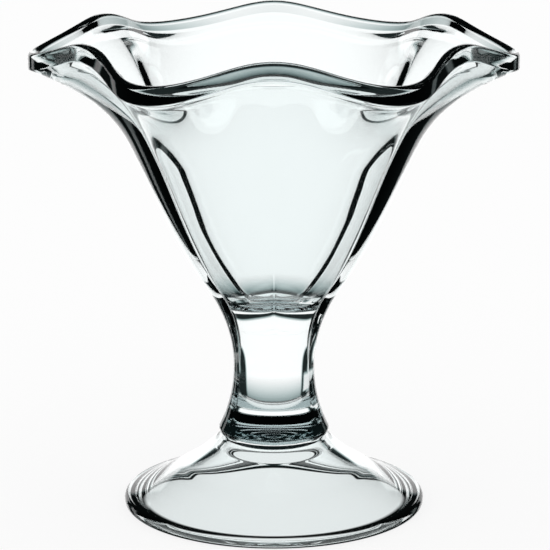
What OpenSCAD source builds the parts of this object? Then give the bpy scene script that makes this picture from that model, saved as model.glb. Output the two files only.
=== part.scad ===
// Footed sundae glass of pressed clear glass: a fluted bowl with a petalled rim,
// a short solid fluted stem and a round foot that is hollow underneath.
// Z points up and the origin is the centre of the ring that the foot stands on.
// One crease of the bowl faces -Y, so the petals lie half a petal's angle to each side of it.

/* [Rim] */
// Number of petals round the rim
petals = 6; // [5:1:8]
// Distance from the axis to the rim's crest at the tip of a petal
petal_crest_r = 63.3; // [60:0.1:68]
// Distance from the axis to the rim's crest at a peak, between two petals
peak_crest_r = 54.8; // [52:0.1:58]
// How far the tip of a petal hangs below the peaks
petal_drop = 5.9; // [2:0.1:8]
// Thickness of the rim, between its upright outer and inner faces
rim_t = 2.9; // [2.5:0.1:3.6]
// Height of the rim's upright outer face, up to its crest
rim_face_h = 4.7; // [3.6:0.1:5.6]
// Rounding of the rim's two upper edges
rim_round_r = 1.1; // [0.5:0.1:1.2]

/* [Bowl] */
// Height of the bowl, from its joint with the stem to the peaks of the rim
bowl_h = 80; // [74:0.5:92]
// Thickness of the bowl's wall in the middle of a petal
petal_wall_t = 3.8; // [3:0.1:4.4]
// Thickness of the wall in a crease
crease_wall_t = 2.6; // [2:0.1:3]
// Thickness of the wall just below the rim
rim_wall_t = 3.8; // [2.8:0.1:4]
// Solid glass between the joint and the floor inside the bowl
floor_t = 6.5; // [5:0.5:9]
// Radius of the flat part of the floor inside the bowl
floor_r = 9.5; // [5:0.5:10]
// Radius over the petals where the cup begins
cup_r = 18.3; // [16.5:0.1:21]
// Height of that place above the joint
cup_rise = 10.7; // [10:0.1:13]
// Radius over the petals where the cup starts to flare
flare_r = 37.3; // [34:0.1:41]
// Height of that place above the joint
flare_rise = 47.3; // [42:0.1:52]
// Depth of the creases between the petals where the cup begins
cup_crease_depth = 1.8; // [0.5:0.1:2.4]
// Depth of the creases where the cup starts to flare
flare_crease_depth = 2.6; // [1:0.1:3.6]

/* [Stem] */
// Length of the stem, from its joint with the foot to its joint with the bowl
stem_h = 30.2; // [28:0.1:40]
// Diameter of the stem at its neck
neck_d = 21.8; // [18:0.1:24]
// Height of the neck above the foot
neck_rise = 18.8; // [16:0.1:22]
// Diameter of the stem at its widest, just above the foot
stem_base_d = 29.8; // [27:0.1:33]
// Diameter of the stem where it is joined to the foot
stem_joint_d = 28.2; // [25:0.1:29]
// Height of the rounding at the bottom of the stem
stem_round_h = 1.6; // [0.8:0.1:3]
// Depth of the creases at the neck
neck_crease_depth = 0.2; // [0.1:0.1:1.2]

/* [Foot] */
// Diameter of the foot
foot_d = 81.6; // [72:0.2:90]
// Height of the foot, up to its joint with the stem
foot_h = 19.8; // [17:0.1:24]
// Height of the foot's edge
foot_edge_h = 3.6; // [3:0.1:5]
// Rounding of the edge above
edge_round_r = 1.4; // [0.5:0.1:1.6]
// Rounding of the heel, where the edge meets the ground
heel_round_r = 1.2; // [0.4:0.1:1.4]
// Height of the foot's top at its waist, between the stem and the edge
foot_waist_h = 11.3; // [9:0.1:13]
// Diameter of the flat ceiling of the hollow
ceiling_d = 22.6; // [18:0.2:24]
// Thickness of the glass over that ceiling
ceiling_t = 2.4; // [1.6:0.1:4]
// Thickness of the glass over the hollow's shoulder, beside the ceiling, from top to underside
shoulder_t = 5.6; // [5:0.1:7.5]
// Thickness of the foot at its waist, from top to underside
foot_waist_t = 3.3; // [2.4:0.1:4.4]
// Width of the flat ring that the foot stands on
ring_w = 2.6; // [1:0.1:3.6]

/* [Hidden] */

// Lengths of wall per unit of height that the outline leans outwards, over a petal and in a crease
cup_lean_share = 0.68;
flare_lean_share = 0.46;
petal_lean_share = 2.74;
cup_crease_lean_share = 0.75;
flare_crease_lean_share = 0.48;
peak_lean_share = 1.36;
stem_base_lean_share = -0.5;
// How sharply the petals swell out of the creases, in the cup and at the rim
cup_petal_power = 0.5;
rim_petal_power = 3.2;
rim_wave_power = 2;
// Share of the flare that has an inner wall before the rim's inner face begins
rim_blend_share = 0.85;
// Share of the neck's crease depth that is left where the stem meets the foot
stem_base_crease_share = 0.5;

steps_per_petal = 12;
steps = petals * steps_per_petal;
neck_steps = 7;
joint_steps = 3;
cup_steps = 7;
flare_steps = 8;
round_steps = 3;
corner_steps = 3;
foot_steps = 6;
glass = [0.8, 0.9, 0.89, 0.5];

// Heights of the joints and of the shape's changes above the ground
bowl_joint_z = foot_h + stem_h;
neck_z = foot_h + neck_rise;
cup_z = bowl_joint_z + cup_rise;
flare_z = bowl_joint_z + flare_rise;
floor_z = bowl_joint_z + floor_t;
peak_z = bowl_joint_z + bowl_h;
neck_r = neck_d / 2;
stem_base_r = stem_base_d / 2;
stem_joint_r = stem_joint_d / 2;

// A knot of an outline is its radius, its height and its lean.
petal_knots = [
    [neck_r, neck_z, 0],
    [cup_r, cup_z, cup_lean_share],
    [flare_r, flare_z, flare_lean_share],
    [petal_crest_r + rim_t / 2, peak_z - petal_drop - rim_face_h, petal_lean_share]
];
crease_knots = [
    [neck_r - neck_crease_depth, neck_z, 0],
    [cup_r - cup_crease_depth, cup_z, cup_crease_lean_share],
    [flare_r - flare_crease_depth, flare_z, flare_crease_lean_share],
    [peak_crest_r + rim_t / 2, peak_z - rim_face_h, peak_lean_share]
];
petal_crest = [petal_crest_r, peak_z - petal_drop];
peak_crest = [peak_crest_r, peak_z];

// Place on the smooth curve between two knots, at share t of its height
function ease(t) = t * t * (3 - 2 * t);
function curve_radius(a, b, t) =
    a[0] + (b[0] - a[0]) * ease(t)
    + (b[1] - a[1]) * t * (1 - t) * (a[2] * (1 - t) - b[2] * t);
function curve_height(a, b, t) = a[1] + (b[1] - a[1]) * t;
function curve_lean(a, b, t) =
    6 * t * (1 - t) * (b[0] - a[0]) / (b[1] - a[1])
    + a[2] * (1 - t) * (1 - 3 * t) + b[2] * t * (3 * t - 2);
function outer_point(a, b, t) = [curve_radius(a, b, t), curve_height(a, b, t)];
// The same place moved square into the glass by its thickness
function inner_point(a, b, t, thick) =
    outer_point(a, b, t)
    + thick * [-1, curve_lean(a, b, t)] / norm([1, curve_lean(a, b, t)]);

// Share of the way from the neck to the cup at which the bowl is joined to the stem
joint_share = (bowl_joint_z - neck_z) / (cup_z - neck_z);

// The closed outlines of the bowl over a petal and in a crease run from the joint up the outside,
// round the rim and down the inside. Each point ends with its share of the way to the rim's form.
function outside_line(knots) = concat(
    [for (i = [0 : joint_steps - 1])
        let (t = joint_share + (1 - joint_share) * i / joint_steps)
        concat(outer_point(knots[0], knots[1], t), [0])],
    [for (i = [0 : cup_steps - 1]) concat(outer_point(knots[1], knots[2], i / cup_steps), [0])],
    [for (i = [0 : flare_steps])
        let (t = i / flare_steps)
        concat(outer_point(knots[2], knots[3], t), [t * t])]
);
function rim_line(crest) = concat(
    [for (i = [0 : round_steps])
        let (a = 90 * i / round_steps)
        [crest[0] + rim_t / 2 - rim_round_r * (1 - cos(a)), crest[1] - rim_round_r * (1 - sin(a)), 1]],
    [for (i = [0 : round_steps])
        let (a = 90 - 90 * i / round_steps)
        [crest[0] - rim_t / 2 + rim_round_r * (1 - cos(a)), crest[1] - rim_round_r * (1 - sin(a)), 1]]
);
function inside_line(knots, wall_t) = concat(
    [for (i = [flare_steps : -1 : 1])
        let (t = rim_blend_share * i / flare_steps)
        concat(inner_point(knots[2], knots[3], t, wall_t + (rim_wall_t - wall_t) * ease(t)), [t * t])],
    [for (i = [cup_steps : -1 : 1])
        concat(inner_point(knots[1], knots[2], i / cup_steps, wall_t), [0])]
);
// Rounded corner between the inner wall and the floor
function floor_line(knots, wall_t) =
    let (
        top = inner_point(knots[1], knots[2], 0, wall_t),
        corner = [top[0] - knots[1][2] * (top[1] - floor_z), floor_z],
        end = [floor_r, floor_z]
    )
    [for (i = [0 : corner_steps])
        let (t = i / corner_steps)
        concat((1 - t) * (1 - t) * top + 2 * t * (1 - t) * corner + t * t * end, [0])];
function bowl_line(knots, crest, wall_t) = concat(
    outside_line(knots), rim_line(crest), inside_line(knots, wall_t), floor_line(knots, wall_t)
);

// The stem's outlines run from the foot up round its lower edge, then to the neck and the bowl.
function stem_line(base, knots) = concat(
    [for (i = [0 : round_steps - 1])
        let (a = 90 - 90 * i / round_steps)
        [stem_joint_r + (base[0] - stem_joint_r) * cos(a), base[1] - stem_round_h * sin(a), 0]],
    [for (i = [0 : neck_steps - 1]) concat(outer_point(base, knots[0], i / neck_steps), [0])],
    [for (i = [0 : neck_steps])
        concat(outer_point(knots[0], knots[1], joint_share * i / neck_steps), [0])]
);
function stem_base(crease_depth) =
    [stem_base_r - crease_depth, foot_h + stem_round_h, stem_base_lean_share];

// How far the section at this step has swollen from crease to petal, from 0 to 1
function swell(step, power) = pow(abs(sin(180 * step / steps_per_petal)), power);
function blend(a, b, share) = a + (b - a) * share;
// One level of the glass all round, between its crease point and its petal point
function ring(crease, petal) = [
    for (i = [0 : steps - 1])
        let (
            a = 360 * i / steps,
            out = swell(i, blend(cup_petal_power, rim_petal_power, petal[2])),
            up = swell(i, blend(cup_petal_power, rim_wave_power, petal[2])),
            r = blend(crease[0], petal[0], out)
        )
        [r * sin(a), -r * cos(a), blend(crease[1], petal[1], up)]
];

// Solid whose levels follow two outlines, closed to the axis at its first and last level
module fluted_solid(crease_line, petal_line) {
    levels = len(petal_line);
    first_centre = [0, 0, petal_line[0][1]];
    last_centre = [0, 0, petal_line[levels - 1][1]];
    rings = [for (k = [0 : levels - 1]) each ring(crease_line[k], petal_line[k])];
    points = concat([first_centre], rings, [last_centre]);
    last = len(points) - 1;
    function at(k, i) = 1 + k * steps + i % steps;
    polyhedron(points, concat(
        [for (i = [0 : steps - 1]) [0, at(0, i), at(0, i + 1)]],
        [for (k = [0 : levels - 2], i = [0 : steps - 1]) each [
            [at(k, i), at(k + 1, i), at(k + 1, i + 1)],
            [at(k, i), at(k + 1, i + 1), at(k, i + 1)]
        ]],
        [for (i = [0 : steps - 1]) [last, at(levels - 1, i + 1), at(levels - 1, i)]]
    ));
}

module bowl() {
    color(glass)
        fluted_solid(
            bowl_line(crease_knots, peak_crest, crease_wall_t),
            bowl_line(petal_knots, petal_crest, petal_wall_t)
        );
}

module stem() {
    color(glass)
        fluted_solid(
            stem_line(stem_base(stem_base_crease_share * neck_crease_depth), crease_knots),
            stem_line(stem_base(0), petal_knots)
        );
}

// The foot's top falls from the stem's joint to its waist and on to the rounded edge. The hollow
// falls from its flat ceiling round a shoulder, past the waist and to the standing ring.
foot_r = foot_d / 2;
// Place of the waist between the stem's joint and the edge, and of the hollow's shoulder
// between the ceiling's edge and the waist
foot_waist_share = 0.375;
shoulder_share = 0.26;
foot_waist_r = blend(stem_joint_r, foot_r, foot_waist_share);
shoulder_r = blend(ceiling_d / 2, foot_waist_r, shoulder_share);
hollow_r = foot_r - heel_round_r - ring_w;

// Slopes are falls per unit of radius.
joint_slope_share = -1;
foot_waist_slope_share = -0.6;
foot_edge_slope_share = -0.25;
shoulder_slope_share = -0.78;
hollow_waist_slope_share = -0.52;
hollow_edge_slope_share = -0.7;
function slope_point(a, b, t) = [
    a[0] + (b[0] - a[0]) * t,
    a[1] + (b[1] - a[1]) * ease(t) + (b[0] - a[0]) * t * (1 - t) * (a[2] * (1 - t) - b[2] * t)
];
function slope_line(knots) = [
    for (k = [0 : len(knots) - 2], i = [0 : foot_steps - 1])
        slope_point(knots[k], knots[k + 1], i / foot_steps)
];
foot_top_knots = [
    [stem_joint_r, foot_h, joint_slope_share],
    [foot_waist_r, foot_waist_h, foot_waist_slope_share],
    [foot_r - edge_round_r, foot_edge_h, foot_edge_slope_share]
];
hollow_knots = [
    [hollow_r, 0, hollow_edge_slope_share],
    [foot_waist_r, foot_waist_h - foot_waist_t, hollow_waist_slope_share],
    [shoulder_r, foot_h - shoulder_t, shoulder_slope_share],
    [ceiling_d / 2, foot_h - ceiling_t, 0]
];

module foot() {
    color(glass)
        rotate_extrude()
            polygon(concat(
                [[0, foot_h - ceiling_t], [0, foot_h]],
                slope_line(foot_top_knots),
                [for (i = [round_steps : -1 : 0])
                    let (a = 90 * i / round_steps)
                    [foot_r - edge_round_r * (1 - cos(a)), foot_edge_h - edge_round_r * (1 - sin(a))]],
                [for (i = [0 : round_steps])
                    let (a = 90 * i / round_steps)
                    [foot_r - heel_round_r * (1 - cos(a)), heel_round_r * (1 - sin(a))]],
                slope_line(hollow_knots),
                [[ceiling_d / 2, foot_h - ceiling_t]]
            ));
}

bowl();
stem();
foot();
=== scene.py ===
import math

import bpy
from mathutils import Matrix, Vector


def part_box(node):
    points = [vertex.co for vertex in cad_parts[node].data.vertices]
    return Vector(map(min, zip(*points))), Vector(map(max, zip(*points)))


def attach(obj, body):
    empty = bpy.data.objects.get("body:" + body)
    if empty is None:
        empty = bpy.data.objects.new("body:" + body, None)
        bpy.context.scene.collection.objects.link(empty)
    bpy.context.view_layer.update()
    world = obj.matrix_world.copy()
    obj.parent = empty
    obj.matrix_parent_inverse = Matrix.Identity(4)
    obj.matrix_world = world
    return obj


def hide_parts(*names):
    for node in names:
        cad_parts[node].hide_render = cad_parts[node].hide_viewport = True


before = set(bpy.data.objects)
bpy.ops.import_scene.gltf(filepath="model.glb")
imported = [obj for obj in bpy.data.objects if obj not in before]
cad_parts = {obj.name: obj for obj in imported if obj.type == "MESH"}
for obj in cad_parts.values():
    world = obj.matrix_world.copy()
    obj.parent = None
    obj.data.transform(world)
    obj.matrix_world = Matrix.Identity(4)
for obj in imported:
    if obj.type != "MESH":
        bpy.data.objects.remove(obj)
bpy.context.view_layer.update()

bowlLow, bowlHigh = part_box("bowl")
stemLow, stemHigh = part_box("stem")
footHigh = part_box("foot")[1]
mm = 0.001
petalCount = 6


# An input is given a value, a socket, or a node that stands for its first output
def addNode(tree, kind, inputs=None, **settings):
    node = tree.nodes.new(kind)
    for name, value in settings.items():
        setattr(node, name, value)
    for key, value in (inputs or {}).items():
        if isinstance(value, bpy.types.Node):
            value = value.outputs[0]
        if isinstance(value, bpy.types.NodeSocket):
            tree.links.new(value, node.inputs[key])
        else:
            node.inputs[key].default_value = value
    return node


def linearColour(hexText):
    parts = [int(hexText[i : i + 2], 16) / 255 for i in (1, 3, 5)]
    return [c / 12.92 if c <= 0.04045 else ((c + 0.055) / 1.055) ** 2.4 for c in parts] + [1.0]


# Outlines run through knots, each with a radius, a height and a lean outwards per unit of height
def curvePoint(a, b, t):
    r = a[0] * (1 - t * t * (3 - 2 * t)) + b[0] * t * t * (3 - 2 * t)
    r += (b[1] - a[1]) * t * (1 - t) * (a[2] * (1 - t) - b[2] * t)
    return r, a[1] + (b[1] - a[1]) * t


def curveLean(a, b, t):
    pull = a[2] * (1 - t) * (1 - 3 * t) + b[2] * t * (3 * t - 2)
    return 6 * t * (1 - t) * (b[0] - a[0]) / (b[1] - a[1]) + pull


def innerPoint(a, b, t, thick):
    r, z = curvePoint(a, b, t)
    lean = curveLean(a, b, t)
    size = math.hypot(1, lean)
    return r - thick / size, z + thick * lean / size


# Curves that spread more than they rise run through knots with a rise per unit of radius
def slopePoint(a, b, t):
    z = a[1] * (1 - t * t * (3 - 2 * t)) + b[1] * t * t * (3 - 2 * t)
    z += (b[0] - a[0]) * t * (1 - t) * (a[2] * (1 - t) - b[2] * t)
    return a[0] + (b[0] - a[0]) * t, z


jointSteps = (0.02 * mm, 0.07 * mm, 0.2 * mm, 0.5 * mm)  # distances from a joint's face
jointRoom = 1.3  # the even steps keep this many times the last of them away


# Steps from 0 to 1 that are fine at the ends named, so that shading runs on over a joint
def fineSteps(count, length, atStart, atEnd):
    near = [step / length for step in jointSteps]
    inner = [i / count for i in range(1, count)]
    if atStart:
        inner = near + [t for t in inner if t > near[-1] * jointRoom]
    if atEnd:
        inner = [t for t in inner if t < 1 - near[-1] * jointRoom] + [1 - t for t in reversed(near)]
    return [0.0] + inner + [1.0]


bowlShape = {
    "neckRadius": 10.9 * mm,
    "neckHeight": 38.6 * mm,
    "neckCrease": 0.2 * mm,  # depth of the creases at that height
    "cupRadius": 18.3 * mm,
    "cupHeight": 60.7 * mm,
    "cupCrease": 1.8 * mm,
    "cupLean": 0.68,
    "cupCreaseLean": 0.75,
    "flareRadius": 37.3 * mm,
    "flareHeight": 97.3 * mm,
    "flareCrease": 2.6 * mm,
    "flareLean": 0.46,
    "flareCreaseLean": 0.48,
    "petalLean": 2.74,
    "peakLean": 1.36,
    "petalDrop": 5.9 * mm,  # how far the rim over a petal lies below its peaks
    "peakReach": 56.25 * mm,
    "rimThick": 2.9 * mm,
    "rimFace": 4.7 * mm,
    "rimRound": 1.1 * mm,
    "faceRound": 0.6 * mm,
    "faceTuck": 0.35,  # how far the face's lower edge is drawn in, as a share of its round
    "petalWall": 3.8 * mm,
    "creaseWall": 2.6 * mm,
    "rimWall": 3.8 * mm,
    "rimBlend": 0.85,  # where the wall's inside ends, as a share of the way from flare to rim
    "floorHeight": 57.0 * mm,
    "floorRadius": 7.6 * mm,
    "cupPower": 0.5,  # the lower a power, the broader the petals and the tighter the creases
    "innerCupPower": 0.5,
    "rimPower": 3.2,
    "wavePower": 2.0,
    "creaseSoftness": 0.15,
    "innerSoftness": 0.3,
    "innerCreaseDepth": 0.9,
    "wallSteps": 34,
    "roundSteps": 5,
    "cornerSteps": 14,
    "stepsRound": 360,
}


def bowlKnots(overPetal):
    s = bowlShape
    depth = 0 if overPetal else 1
    reach = bowlHigh[0] if overPetal else s["peakReach"]
    crestHeight = bowlHigh[2] - (s["petalDrop"] if overPetal else 0)
    cupLean = s["cupLean"] if overPetal else s["cupCreaseLean"]
    flareLean = s["flareLean"] if overPetal else s["flareCreaseLean"]
    rimLean = s["petalLean"] if overPetal else s["peakLean"]
    knots = [
        (s["neckRadius"] - depth * s["neckCrease"], s["neckHeight"], 0),
        (s["cupRadius"] - depth * s["cupCrease"], s["cupHeight"], cupLean),
        (s["flareRadius"] - depth * s["flareCrease"], s["flareHeight"], flareLean),
        (reach, crestHeight - s["rimFace"], rimLean),
    ]
    return knots, reach, crestHeight


# Where the bowl meets the stem, as a share of the way from the neck to the cup
def jointShare():
    s = bowlShape
    return (bowlLow[2] - s["neckHeight"]) / (s["cupHeight"] - s["neckHeight"])


# An outline point is a radius, a height, its share of the rim's form and its share of the inner form
def bowlOutline(overPetal):
    s = bowlShape
    knots, reach, crest = bowlKnots(overPetal)
    wall = s["petalWall"] if overPetal else s["creaseWall"]
    n = s["wallSteps"]
    line = [(0, bowlLow[2], 0, 0)]
    for t in fineSteps(n // 3, s["cupHeight"] - bowlLow[2], True, False)[:-1]:
        line.append((*curvePoint(knots[0], knots[1], jointShare() + (1 - jointShare()) * t), 0, 0))
    for i in range(n):
        line.append((*curvePoint(knots[1], knots[2], i / n), 0, 0))
    for i in range(n):
        t = i / n
        line.append((*curvePoint(knots[2], knots[3], t), t * t, 0))
    arc = [math.pi / 2 * i / s["roundSteps"] for i in range(s["roundSteps"] + 1)]
    for a in arc[1:]:  # underside of the rim's upright face
        inset = s["faceTuck"] * s["faceRound"] * (1 - math.sin(a))
        rise = s["faceRound"] * (1 - math.cos(a))
        line.append((reach - inset, crest - s["rimFace"] + rise, 1, 0))
    for a in arc:  # outer edge of the rim
        fall = s["rimRound"] * (1 - math.sin(a))
        line.append((reach - s["rimRound"] * (1 - math.cos(a)), crest - fall, 1, 0))
    for a in reversed(arc):  # inner edge of the rim
        r = reach - s["rimThick"] + s["rimRound"] * (1 - math.cos(a))
        line.append((r, crest - s["rimRound"] * (1 - math.sin(a)), 1, 1))
    for i in range(n, 0, -1):
        t = s["rimBlend"] * i / n
        thick = wall + (s["rimWall"] - wall) * t * t * (3 - 2 * t)
        line.append((*innerPoint(knots[2], knots[3], t, thick), t * t, 1))
    for i in range(n, 0, -1):
        line.append((*innerPoint(knots[1], knots[2], i / n, wall), 0, 1))
    top = innerPoint(knots[1], knots[2], 0, wall)
    corner = (top[0] - knots[1][2] * (top[1] - s["floorHeight"]), s["floorHeight"])
    end = (s["floorRadius"], s["floorHeight"])
    for i in range(s["cornerSteps"] + 1):  # round corner between the wall and the floor
        t = i / s["cornerSteps"]
        bend = [(1 - t) ** 2 * top[k] + 2 * t * (1 - t) * corner[k] + t * t * end[k] for k in (0, 1)]
        line.append((*bend, 0, 1))
    line.append((0, s["floorHeight"], 0, 1))
    return line


stemShape = {
    "baseRadius": 14.9 * mm,
    "baseCrease": 0.25 * mm,
    "baseHeight": 1.6 * mm,
    "baseLean": -0.5,
    "jointRadius": 14.1 * mm,
    "edgeSteps": 8,
    "steps": 40,
}


def stemOutline(overPetal):
    s = stemShape
    knots = bowlKnots(overPetal)[0]
    low, high = stemLow[2], stemHigh[2]
    crease = 0 if overPetal else s["baseCrease"]
    base = (s["baseRadius"] - crease, low + s["baseHeight"], s["baseLean"])
    line = [(0, low, 0, 0)]
    for i in range(s["edgeSteps"]):  # the rounded edge where the stem meets the foot
        a = math.pi / 2 * (1 - i / s["edgeSteps"])
        out = s["jointRadius"] + (base[0] - s["jointRadius"]) * math.cos(a)
        line.append((out, base[1] - s["baseHeight"] * math.sin(a), 0, 0))
    for i in range(s["steps"]):
        line.append((*curvePoint(base, knots[0], i / s["steps"]), 0, 0))
    for t in fineSteps(s["steps"] // 2, high - knots[0][1], False, True):
        line.append((*curvePoint(knots[0], knots[1], jointShare() * t), 0, 0))
    line.append((0, high, 0, 0))
    return line


# A knot of the foot is a radius, a height and a slope
footShape = {
    "joint": (14.1 * mm, 19.8 * mm, -1.0),
    "waist": (24.1 * mm, 11.3 * mm, -0.6),
    "edgeHeight": 3.1 * mm,
    "edgeSlope": -0.35,
    "edgeRound": 1.4 * mm,
    "heelRound": 1.2 * mm,
    "ringWidth": 2.6 * mm,
    "ceilingRadius": 11.3 * mm,
    "ceilingHeight": 17.4 * mm,
    "shoulder": (14.6 * mm, 14.2 * mm, -0.78),
    "hollowWaist": (24.1 * mm, 8.0 * mm, -0.52),
    "hollowSlope": -0.7,
    "rippleDepth": 0.1 * mm,
    "rippleSpacing": 2.0 * mm,
    "rippleFade": 0.5,  # the power with which the ripples die out towards the ceiling's edge
    "rippleSteps": 10,
    "steps": 30,
    "roundSteps": 8,
}


def footOutline(overPetal):  # the foot is round, so both outlines are the same
    s = footShape
    outer, top = footHigh[0], footHigh[2]
    ceiling = s["ceilingHeight"]
    line = [(0, ceiling + s["rippleDepth"], 0, 0)]
    rings = int(s["ceilingRadius"] / s["rippleSpacing"] * s["rippleSteps"])
    for i in range(1, rings):  # fine turned rings on the hollow's ceiling
        r = s["ceilingRadius"] * i / rings
        wave = math.cos(2 * math.pi * r / s["rippleSpacing"]) * (1 - i / rings) ** s["rippleFade"]
        line.append((r, ceiling + s["rippleDepth"] * wave, 0, 0))
    hollowEnd = (outer - s["heelRound"] - s["ringWidth"], 0, s["hollowSlope"])
    hollow = [(s["ceilingRadius"], ceiling, 0), s["shoulder"], s["hollowWaist"], hollowEnd]
    for a, b in zip(hollow, hollow[1:]):
        for i in range(s["steps"]):
            line.append((*slopePoint(a, b, i / s["steps"]), 0, 0))
    line.append((hollowEnd[0], 0, 0, 0))
    arc = [math.pi / 2 * i / s["roundSteps"] for i in range(s["roundSteps"] + 1)]
    for a in arc:  # heel, from the flat ring up to the side
        r = outer - s["heelRound"] * (1 - math.sin(a))
        line.append((r, s["heelRound"] * (1 - math.cos(a)), 0, 0))
    for a in arc:  # upper edge of the side
        rise = s["edgeRound"] * (1 - math.sin(a))
        line.append((outer - s["edgeRound"] * (1 - math.cos(a)), s["edgeHeight"] - rise, 0, 0))
    skin = [(outer - s["edgeRound"], s["edgeHeight"], s["edgeSlope"]), s["waist"], s["joint"]]
    for a, b in zip(skin, skin[1:]):
        for i in range(1, s["steps"] + 1):
            line.append((*slopePoint(a, b, i / s["steps"]), 0, 0))
    line.append((0, top, 0, 0))
    return line


weldReach = 0.0001 * mm  # points nearer than this are one
levelReach = 0.001 * mm  # a face this near to a joint's height lies on the joint


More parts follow.
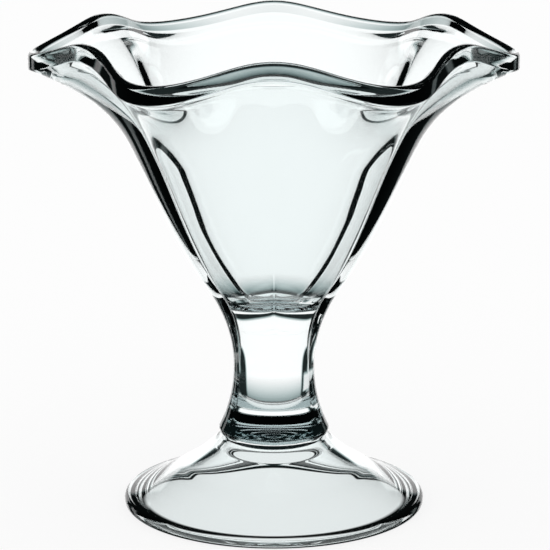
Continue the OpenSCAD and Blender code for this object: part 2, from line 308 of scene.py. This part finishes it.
# Sweeps two outlines round the axis, one over the petals and one in the creases
def flutedGlassTree():
    tree = bpy.data.node_groups.new("flutedGlass", "GeometryNodeTree")
    inputs = [
        ("Geometry", "NodeSocketGeometry", None),
        ("Petals", "NodeSocketFloat", 6.0),
        ("Steps round", "NodeSocketInt", 360),
        ("Outline points", "NodeSocketInt", 100),
        ("Outer softness", "NodeSocketFloat", 0.1),
        ("Inner softness", "NodeSocketFloat", 0.2),
        ("Inner crease depth", "NodeSocketFloat", 1.0),
        ("Outer power", "NodeSocketFloat", 1.0),
        ("Inner power", "NodeSocketFloat", 1.0),
        ("Rim power", "NodeSocketFloat", 3.0),
        ("Wave power", "NodeSocketFloat", 2.0),
        ("Lower joint", "NodeSocketFloat", -1.0),
        ("Upper joint", "NodeSocketFloat", -1.0),
        ("Glass", "NodeSocketMaterial", None),
        ("Joint", "NodeSocketMaterial", None),
    ]
    for name, kind, value in inputs:
        socket = tree.interface.new_socket(name, in_out="INPUT", socket_type=kind)
        if value is not None:
            socket.default_value = value
    tree.interface.new_socket("Geometry", in_out="OUTPUT", socket_type="NodeSocketGeometry")
    given = addNode(tree, "NodeGroupInput").outputs
    known = {name: given[name] for name, kind, value in inputs}

    # The grid has a column for each step round and a row for each outline point. A formula is a
    # name, an operation and its terms, which are numbers or the names of what is known by then.
    known["index"] = addNode(tree, "GeometryNodeInputIndex")
    formulas = [
        ("columns", "ADD", "Steps round", 1.0),
        ("middle", "ADD", "index", 0.5),
        ("columnsBefore", "DIVIDE", "middle", "Outline points"),
        ("column", "FLOOR", "columnsBefore"),
        ("pointsBefore", "MULTIPLY", "column", "Outline points"),
        ("row", "SUBTRACT", "index", "pointsBefore"),
        ("creaseRow", "ADD", "row", "Outline points"),
        ("turn", "DIVIDE", "column", "Steps round"),
        ("angle", "MULTIPLY", "turn", 2 * math.pi),
    ]
    for name, operation, *terms in formulas:
        values = {i: known.get(term, term) for i, term in enumerate(terms)}
        known[name] = addNode(tree, "ShaderNodeMath", values, operation=operation)
    size = {"Vertices X": known["columns"], "Vertices Y": known["Outline points"]}
    grid = addNode(tree, "GeometryNodeMeshGrid", size)

    place = addNode(tree, "GeometryNodeInputPosition")
    shares = {}
    for name in ("rimShare", "innerShare"):
        shares[name] = addNode(tree, "GeometryNodeInputNamedAttribute", {"Name": name}, data_type="FLOAT")
    samples = [
        ("petal", place, "FLOAT_VECTOR", "row"),
        ("crease", place, "FLOAT_VECTOR", "creaseRow"),
        ("rim", shares["rimShare"], "FLOAT", "row"),
        ("inside", shares["innerShare"], "FLOAT", "row"),
    ]
    for name, value, kind, row in samples:
        values = {"Geometry": given["Geometry"], "Value": value, "Index": known[row]}
        known[name] = addNode(tree, "GeometryNodeSampleIndex", values, data_type=kind, domain="POINT")
    for name in ("petal", "crease"):
        parts = addNode(tree, "ShaderNodeSeparateXYZ", {0: known[name]}).outputs
        known[name + "Radius"], known[name + "Height"] = parts[0], parts[2]

    # A swell runs from 0 in the creases, which are softened, to 1 over the petals. The skin lies
    # between the two outlines, by that swell raised to a power.
    formulas = [
        ("halfPetals", "MULTIPLY", "Petals", 0.5),
        ("waveAngle", "MULTIPLY", "angle", "halfPetals"),
        ("wave", "SINE", "waveAngle"),
        ("waveSquare", "MULTIPLY", "wave", "wave"),
        ("cup", "SUBTRACT", 1.0, "rim"),
        ("softnessGap", "SUBTRACT", "Inner softness", "Outer softness"),
        ("softness", "MULTIPLY_ADD", "softnessGap", "inside", "Outer softness"),
        ("soft", "MULTIPLY", "softness", "cup"),
        ("softSquare", "MULTIPLY", "soft", "soft"),
        ("roundedSquare", "ADD", "waveSquare", "softSquare"),
        ("rounded", "SQRT", "roundedSquare"),
        ("rise", "SUBTRACT", "rounded", "soft"),
        ("fullSquare", "ADD", "softSquare", 1.0),
        ("fullRounded", "SQRT", "fullSquare"),
        ("fullRise", "SUBTRACT", "fullRounded", "soft"),
        ("riseShare", "DIVIDE", "rise", "fullRise"),
        ("swell", "MAXIMUM", "riseShare", 0.0),
        ("powerGap", "SUBTRACT", "Inner power", "Outer power"),
        ("cupPower", "MULTIPLY_ADD", "powerGap", "inside", "Outer power"),
        ("rimPowerGap", "SUBTRACT", "Rim power", "cupPower"),
        ("outwardPower", "MULTIPLY_ADD", "rimPowerGap", "rim", "cupPower"),
        ("outward", "POWER", "swell", "outwardPower"),
        ("wavePowerGap", "SUBTRACT", "Wave power", "cupPower"),
        ("upwardPower", "MULTIPLY_ADD", "wavePowerGap", "rim", "cupPower"),
        ("upward", "POWER", "swell", "upwardPower"),
        ("insideCup", "MULTIPLY", "inside", "cup"),
        ("depthGap", "SUBTRACT", "Inner crease depth", 1.0),
        ("depth", "MULTIPLY_ADD", "depthGap", "insideCup", 1.0),
        ("inward", "SUBTRACT", 1.0, "outward"),
        ("creasing", "MULTIPLY", "depth", "inward"),
        ("radiusGap", "SUBTRACT", "creaseRadius", "petalRadius"),
        ("radius", "MULTIPLY_ADD", "radiusGap", "creasing", "petalRadius"),
        ("heightGap", "SUBTRACT", "petalHeight", "creaseHeight"),
        ("z", "MULTIPLY_ADD", "heightGap", "upward", "creaseHeight"),
        ("sine", "SINE", "angle"),
        ("x", "MULTIPLY", "radius", "sine"),
        ("cosine", "COSINE", "angle"),
        ("ahead", "MULTIPLY", "cosine", -1.0),
        ("y", "MULTIPLY", "radius", "ahead"),
    ]
    for name, operation, *terms in formulas:
        values = {i: known.get(term, term) for i, term in enumerate(terms)}
        known[name] = addNode(tree, "ShaderNodeMath", values, operation=operation)
    target = addNode(tree, "ShaderNodeCombineXYZ", {0: known["x"], 1: known["y"], 2: known["z"]})
    moved = addNode(tree, "GeometryNodeSetPosition", {"Geometry": grid, "Position": target})
    merged = addNode(tree, "GeometryNodeMergeByDistance", {"Geometry": moved, "Distance": weldReach})

    # The faces on a joint are flat-shaded and get the joint's material
    level = addNode(tree, "ShaderNodeSeparateXYZ", {0: place}).outputs[2]
    onEither = {}
    for i, name in enumerate(("Lower joint", "Upper joint")):
        values = {"A": level, "B": given[name], "Epsilon": levelReach}
        onEither[i] = addNode(tree, "FunctionNodeCompare", values, data_type="FLOAT", operation="EQUAL")
    onJoint = addNode(tree, "FunctionNodeBooleanMath", onEither, operation="OR")
    offJoint = addNode(tree, "FunctionNodeBooleanMath", {0: onJoint}, operation="NOT")
    smooth = addNode(tree, "GeometryNodeSetShadeSmooth", {"Geometry": merged, "Shade Smooth": offJoint})
    realized = addNode(tree, "GeometryNodeRealizeInstances", {"Geometry": smooth})
    clear = addNode(tree, "GeometryNodeSetMaterial", {"Geometry": realized, "Material": given["Glass"]})
    values = {"Geometry": clear, "Selection": onJoint, "Material": given["Joint"]}
    capped = addNode(tree, "GeometryNodeSetMaterial", values)
    addNode(tree, "NodeGroupOutput", {"Geometry": capped})
    return tree


def newMaterial(name):
    material = bpy.data.materials.new(name)
    material.use_nodes = True
    material.node_tree.nodes.clear()
    return material, material.node_tree


# Soda-lime glass, pressed in a mould and fire-polished: clear, faintly green, with a smooth skin
# whose long soft waves are left by the mould and show only where they bend what is behind them
glassLook = {
    "tint": "#FAFEFE",
    "ior": 1.52,
    "waveLength": 18.18 * mm,
    "waveHeight": 0.05 * mm,
    "rippleLength": 4.167 * mm,
    "rippleShare": 0.05,  # height of the finer ripples, as a share of the waves'
    "seamTint": "#FFFFFF",
    # painted shade: the seam between stem and foot is grey so that it darkens the base of the stem
    "footSeamShade": "#B0BDBF",
}


def pressedGlass(name):
    material, tree = newMaterial(name)
    place = addNode(tree, "ShaderNodeTexCoord").outputs["Object"]
    pattern = {"Vector": place, "Scale": 1 / glassLook["waveLength"], "Detail": 1.0}
    waves = addNode(tree, "ShaderNodeTexNoise", pattern)
    pattern = {"Vector": place, "Scale": 1 / glassLook["rippleLength"], "Detail": 0.0}
    ripples = addNode(tree, "ShaderNodeTexNoise", pattern)
    terms = {0: ripples, 1: glassLook["rippleShare"], 2: waves}
    height = addNode(tree, "ShaderNodeMath", terms, operation="MULTIPLY_ADD")
    bump = {"Strength": 1.0, "Distance": glassLook["waveHeight"], "Height": height}
    skin = addNode(tree, "ShaderNodeBump", bump)
    values = {
        "Base Color": linearColour(glassLook["tint"]),
        "Roughness": 0.0,
        "IOR": glassLook["ior"],
        "Transmission Weight": 1.0,
        "Normal": skin,
    }
    shader = addNode(tree, "ShaderNodeBsdfPrincipled", values)
    addNode(tree, "ShaderNodeOutputMaterial", {"Surface": shader})
    return material


# Where two pieces were fused hot there is no surface left, so light passes straight through. The
# seam between stem and foot is grey as painted shade, which darkens the base of the stem.
def fusedJoint(name, tint):
    material, tree = newMaterial(name)
    shader = addNode(tree, "ShaderNodeBsdfTransparent", {"Color": linearColour(tint)})
    addNode(tree, "ShaderNodeOutputMaterial", {"Surface": shader})
    return material


flutedTree = flutedGlassTree()
glass = pressedGlass("pressedSodaLimeGlass")
clearJoint = fusedJoint("fusedJoint", glassLook["seamTint"])
# the foot's seam is painted shade, a grey sheet that darkens the base of the stem
footJointShade = fusedJoint("fusedFootJointShade", glassLook["footSeamShade"])
print("materials made")


def makePiece(name, outline, lowerJoint, upperJoint, joint):
    petalLine, creaseLine = outline(True), outline(False)
    mesh = bpy.data.meshes.new(name + "Outline")
    mesh.from_pydata([(p[0], 0, p[1]) for p in petalLine + creaseLine], [], [])
    for place, attribute in ((2, "rimShare"), (3, "innerShare")):
        share = mesh.attributes.new(attribute, "FLOAT", "POINT")
        share.data.foreach_set("value", [float(p[place]) for p in petalLine + creaseLine])
    source = bpy.data.objects.new(name + "Source", mesh)
    bpy.context.scene.collection.objects.link(source)
    modifier = source.modifiers.new("flutedGlass", "NODES")
    modifier.node_group = flutedTree
    values = {
        "Petals": float(petalCount),
        "Steps round": bowlShape["stepsRound"],
        "Outline points": len(petalLine),
        "Outer softness": bowlShape["creaseSoftness"],
        "Inner softness": bowlShape["innerSoftness"],
        "Inner crease depth": bowlShape["innerCreaseDepth"],
        "Outer power": bowlShape["cupPower"],
        "Inner power": bowlShape["innerCupPower"],
        "Rim power": bowlShape["rimPower"],
        "Wave power": bowlShape["wavePower"],
        "Lower joint": float(lowerJoint),
        "Upper joint": float(upperJoint),
        "Glass": glass,
        "Joint": joint,
    }
    for item in flutedTree.interface.items_tree:
        if item.in_out == "INPUT" and item.name in values:
            modifier[item.identifier] = values[item.name]
    source.update_tag()
    depsgraph = bpy.context.evaluated_depsgraph_get()
    made = bpy.data.meshes.new_from_object(source.evaluated_get(depsgraph))
    bpy.data.objects.remove(source)
    piece = bpy.data.objects.new(name, made)
    bpy.context.scene.collection.objects.link(piece)
    print(name, len(made.vertices), "vertices", len(made.polygons), "faces")
    return piece


noJoint = -1  # a height at which nothing lies
bowl = makePiece("bowlGlass", bowlOutline, bowlLow[2], noJoint, clearJoint)
stem = makePiece("stemGlass", stemOutline, stemLow[2], stemHigh[2], clearJoint)
foot = makePiece("footGlass", footOutline, noJoint, footHigh[2], footJointShade)
for piece, node in ((bowl, "bowl"), (stem, "stem"), (foot, "foot")):
    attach(piece, "root")
    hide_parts(node)
print("glass made")

# Clear glass shows the room through it, so the studio is dark with white windows in it, which gives
# the glass its black edges. Each window runs from one angle to another, in degrees round the axis
# from the far side of the glass, then in degrees above the horizon, and ends with its brightness
# and with the degrees over which its lower edge fades. The table is lit inside the foot's ring and
# dark from there to under the ring, and that too shows only through the glass.
studio = {
    "windows": [
        (-31, 31, -20, 15, 1.13, 27),
        (45, 51, -19, 10, 0.5, 3),
        (309, 315, -27, 10, 1.0, 20),
    ],
    "sideWindows": [  # for views from other sides, and kept out of what the glass reflects
        (291, 322, -34, -22, 0.95, 2),
        (106, 164, -24, -4, 1.08, 4),
        (244, 296, -12, 8, 1.08, 4),
    ],
    "windowFade": 3.0,
    "dark": 0.02,
    "darkTint": "#DAFFFF",
    "white": "#FFFFFF",
    "floorColour": "#F4F4F4",
    "floorGlow": 0.82,
    # painted light and shade seen through the glass: the table glows inside litRadius and is painted shade
    # out to shadeRadius
    "floorReach": 6.0,
    "litRadius": 34.9 * mm,
    "litFade": 1.0 * mm,
    "litGlow": 0.91,
    "litTint": "#FCFFFF",
    "shadeRadius": 38.5 * mm,
    "shadeFade": 0.4 * mm,
}


# The floor is pale to the camera and takes the glass's shadow. Through the glass it is clear, apart
# from a painted glow of lit table under the foot and the painted shade round it.
def paleFloor():
    material, tree = newMaterial("paleFloor")
    rays = addNode(tree, "ShaderNodeLightPath").outputs
    glow = addNode(tree, "ShaderNodeEmission", {"Color": linearColour(studio["white"]), "Strength": 1.0})
    paint = addNode(tree, "ShaderNodeBsdfDiffuse", {"Color": linearColour(studio["floorColour"])})
    terms = {0: rays["Is Camera Ray"], 1: studio["floorGlow"]}
    seen = addNode(tree, "ShaderNodeMath", terms, operation="MULTIPLY")
    pale = addNode(tree, "ShaderNodeMixShader", {0: seen, 1: paint, 2: glow})
    place = addNode(tree, "ShaderNodeTexCoord").outputs["Object"]
    spread = addNode(tree, "ShaderNodeVectorMath", {0: place}, operation="LENGTH").outputs["Value"]
    values = {
        "Value": spread,
        "From Min": studio["litRadius"] + studio["litFade"],
        "From Max": studio["litRadius"],
        "To Max": studio["litGlow"],
    }
    lit = addNode(tree, "ShaderNodeMapRange", values)
    table = addNode(tree, "ShaderNodeEmission", {"Color": linearColour(studio["litTint"]), "Strength": lit})
    values = {
        "Value": spread,
        "From Min": studio["shadeRadius"] + studio["shadeFade"],
        "From Max": studio["shadeRadius"],
    }
    covered = addNode(tree, "ShaderNodeMapRange", values)
    clear = addNode(tree, "ShaderNodeBsdfTransparent")
    under = addNode(tree, "ShaderNodeMixShader", {0: covered, 1: clear, 2: table})
    terms = {0: rays["Is Transmission Ray"], 1: rays["Is Glossy Ray"]}
    throughGlass = addNode(tree, "ShaderNodeMath", terms, operation="MAXIMUM")
    surface = addNode(tree, "ShaderNodeMixShader", {0: throughGlass, 1: pale, 2: under})
    addNode(tree, "ShaderNodeOutputMaterial", {"Surface": surface})
    return material


reach = studio["floorReach"]
corners = [(-reach, -reach, 0), (reach, -reach, 0), (reach, reach, 0), (-reach, reach, 0)]
floorMesh = bpy.data.meshes.new("floor")
floorMesh.from_pydata(corners, [], [(0, 1, 2, 3)])
floorMesh.materials.append(paleFloor())
floor = bpy.data.objects.new("floor", floorMesh)
bpy.context.scene.collection.objects.link(floor)
print("floor made")


# The brightness of the brightest window in a direction, and 0 outside them all
def windowLight(tree, bearing, height, windows):
    light = 0.0
    for left, right, bottom, top, level, lowerFade in windows:
        fade, middle = studio["windowFade"], (left + right) / 2
        offset = addNode(tree, "ShaderNodeMath", {0: bearing, 1: middle}, operation="SUBTRACT")
        turned = addNode(tree, "ShaderNodeMath", {0: offset, 1: 180.0, 2: -180.0}, operation="WRAP")
        aside = addNode(tree, "ShaderNodeMath", {0: turned}, operation="ABSOLUTE")
        edges = [  # an angle, where the window has gone dark and where it is fully bright
            (aside, right - middle + fade, right - middle),
            (height, bottom - lowerFade, bottom),
            (height, top + fade, top),
        ]
        lit = level
        for angle, dark, bright in edges:
            values = {"Value": angle, "From Min": dark, "From Max": bright}
            share = addNode(tree, "ShaderNodeMapRange", values)
            lit = addNode(tree, "ShaderNodeMath", {0: share, 1: lit}, operation="MULTIPLY")
        light = addNode(tree, "ShaderNodeMath", {0: light, 1: lit}, operation="MAXIMUM")
    return light


def lightStudio():
    world = bpy.data.worlds.new("studioRoom")
    bpy.context.scene.world = world
    world.use_nodes = True
    tree = world.node_tree
    tree.nodes.clear()
    direction = addNode(tree, "ShaderNodeTexCoord").outputs["Generated"]
    parts = addNode(tree, "ShaderNodeSeparateXYZ", {0: direction}).outputs
    turn = addNode(tree, "ShaderNodeMath", {0: parts[0], 1: parts[1]}, operation="ARCTAN2")
    bearing = addNode(tree, "ShaderNodeMath", {0: turn, 1: math.degrees(1)}, operation="MULTIPLY")
    rise = addNode(tree, "ShaderNodeMath", {0: parts[2]}, operation="ARCSINE")
    height = addNode(tree, "ShaderNodeMath", {0: rise, 1: math.degrees(1)}, operation="MULTIPLY")
    rays = addNode(tree, "ShaderNodeLightPath").outputs
    ahead = windowLight(tree, bearing, height, studio["windows"])
    room = addNode(tree, "ShaderNodeMath", {0: ahead, 1: studio["dark"]}, operation="MAXIMUM")
    aside = windowLight(tree, bearing, height, studio["sideWindows"])
    terms = {0: aside, 1: rays["Is Transmission Ray"]}
    refracted = addNode(tree, "ShaderNodeMath", terms, operation="MULTIPLY")
    pattern = addNode(tree, "ShaderNodeMath", {0: room, 1: refracted}, operation="MAXIMUM")
    terms = {0: rays["Is Transmission Ray"], 1: rays["Is Glossy Ray"]}
    throughGlass = addNode(tree, "ShaderNodeMath", terms, operation="MAXIMUM")
    levels = {"Factor": throughGlass, "A": 1.0, "B": pattern}
    strength = addNode(tree, "ShaderNodeMix", levels, data_type="FLOAT")
    tints = {0: strength, 6: linearColour(studio["darkTint"]), 7: linearColour(studio["white"])}
    colour = addNode(tree, "ShaderNodeMix", tints, data_type="RGBA").outputs[2]
    back = addNode(tree, "ShaderNodeBackground", {"Color": colour, "Strength": strength})
    addNode(tree, "ShaderNodeOutputWorld", {"Surface": back})


lightStudio()
print("studio made")

view = {
    "distance": 0.6902,
    "height": 0.2317,
    "side": 0.00028,
    "pitch": 13.70,
    "lens": 173.1,
    "sensor": 36,
    "clipEnd": 50,
}
camera = bpy.data.objects.new("camera", bpy.data.cameras.new("camera"))
camera.data.sensor_width = view["sensor"]
camera.data.lens = view["lens"]
camera.data.clip_end = view["clipEnd"]
camera.location = (view["side"], -view["distance"], view["height"])
camera.rotation_euler = (math.radians(90 - view["pitch"]), 0, 0)
bpy.context.scene.collection.objects.link(camera)
bpy.context.scene.camera = camera
bpy.context.scene.view_settings.view_transform = "Standard"
print("camera placed")
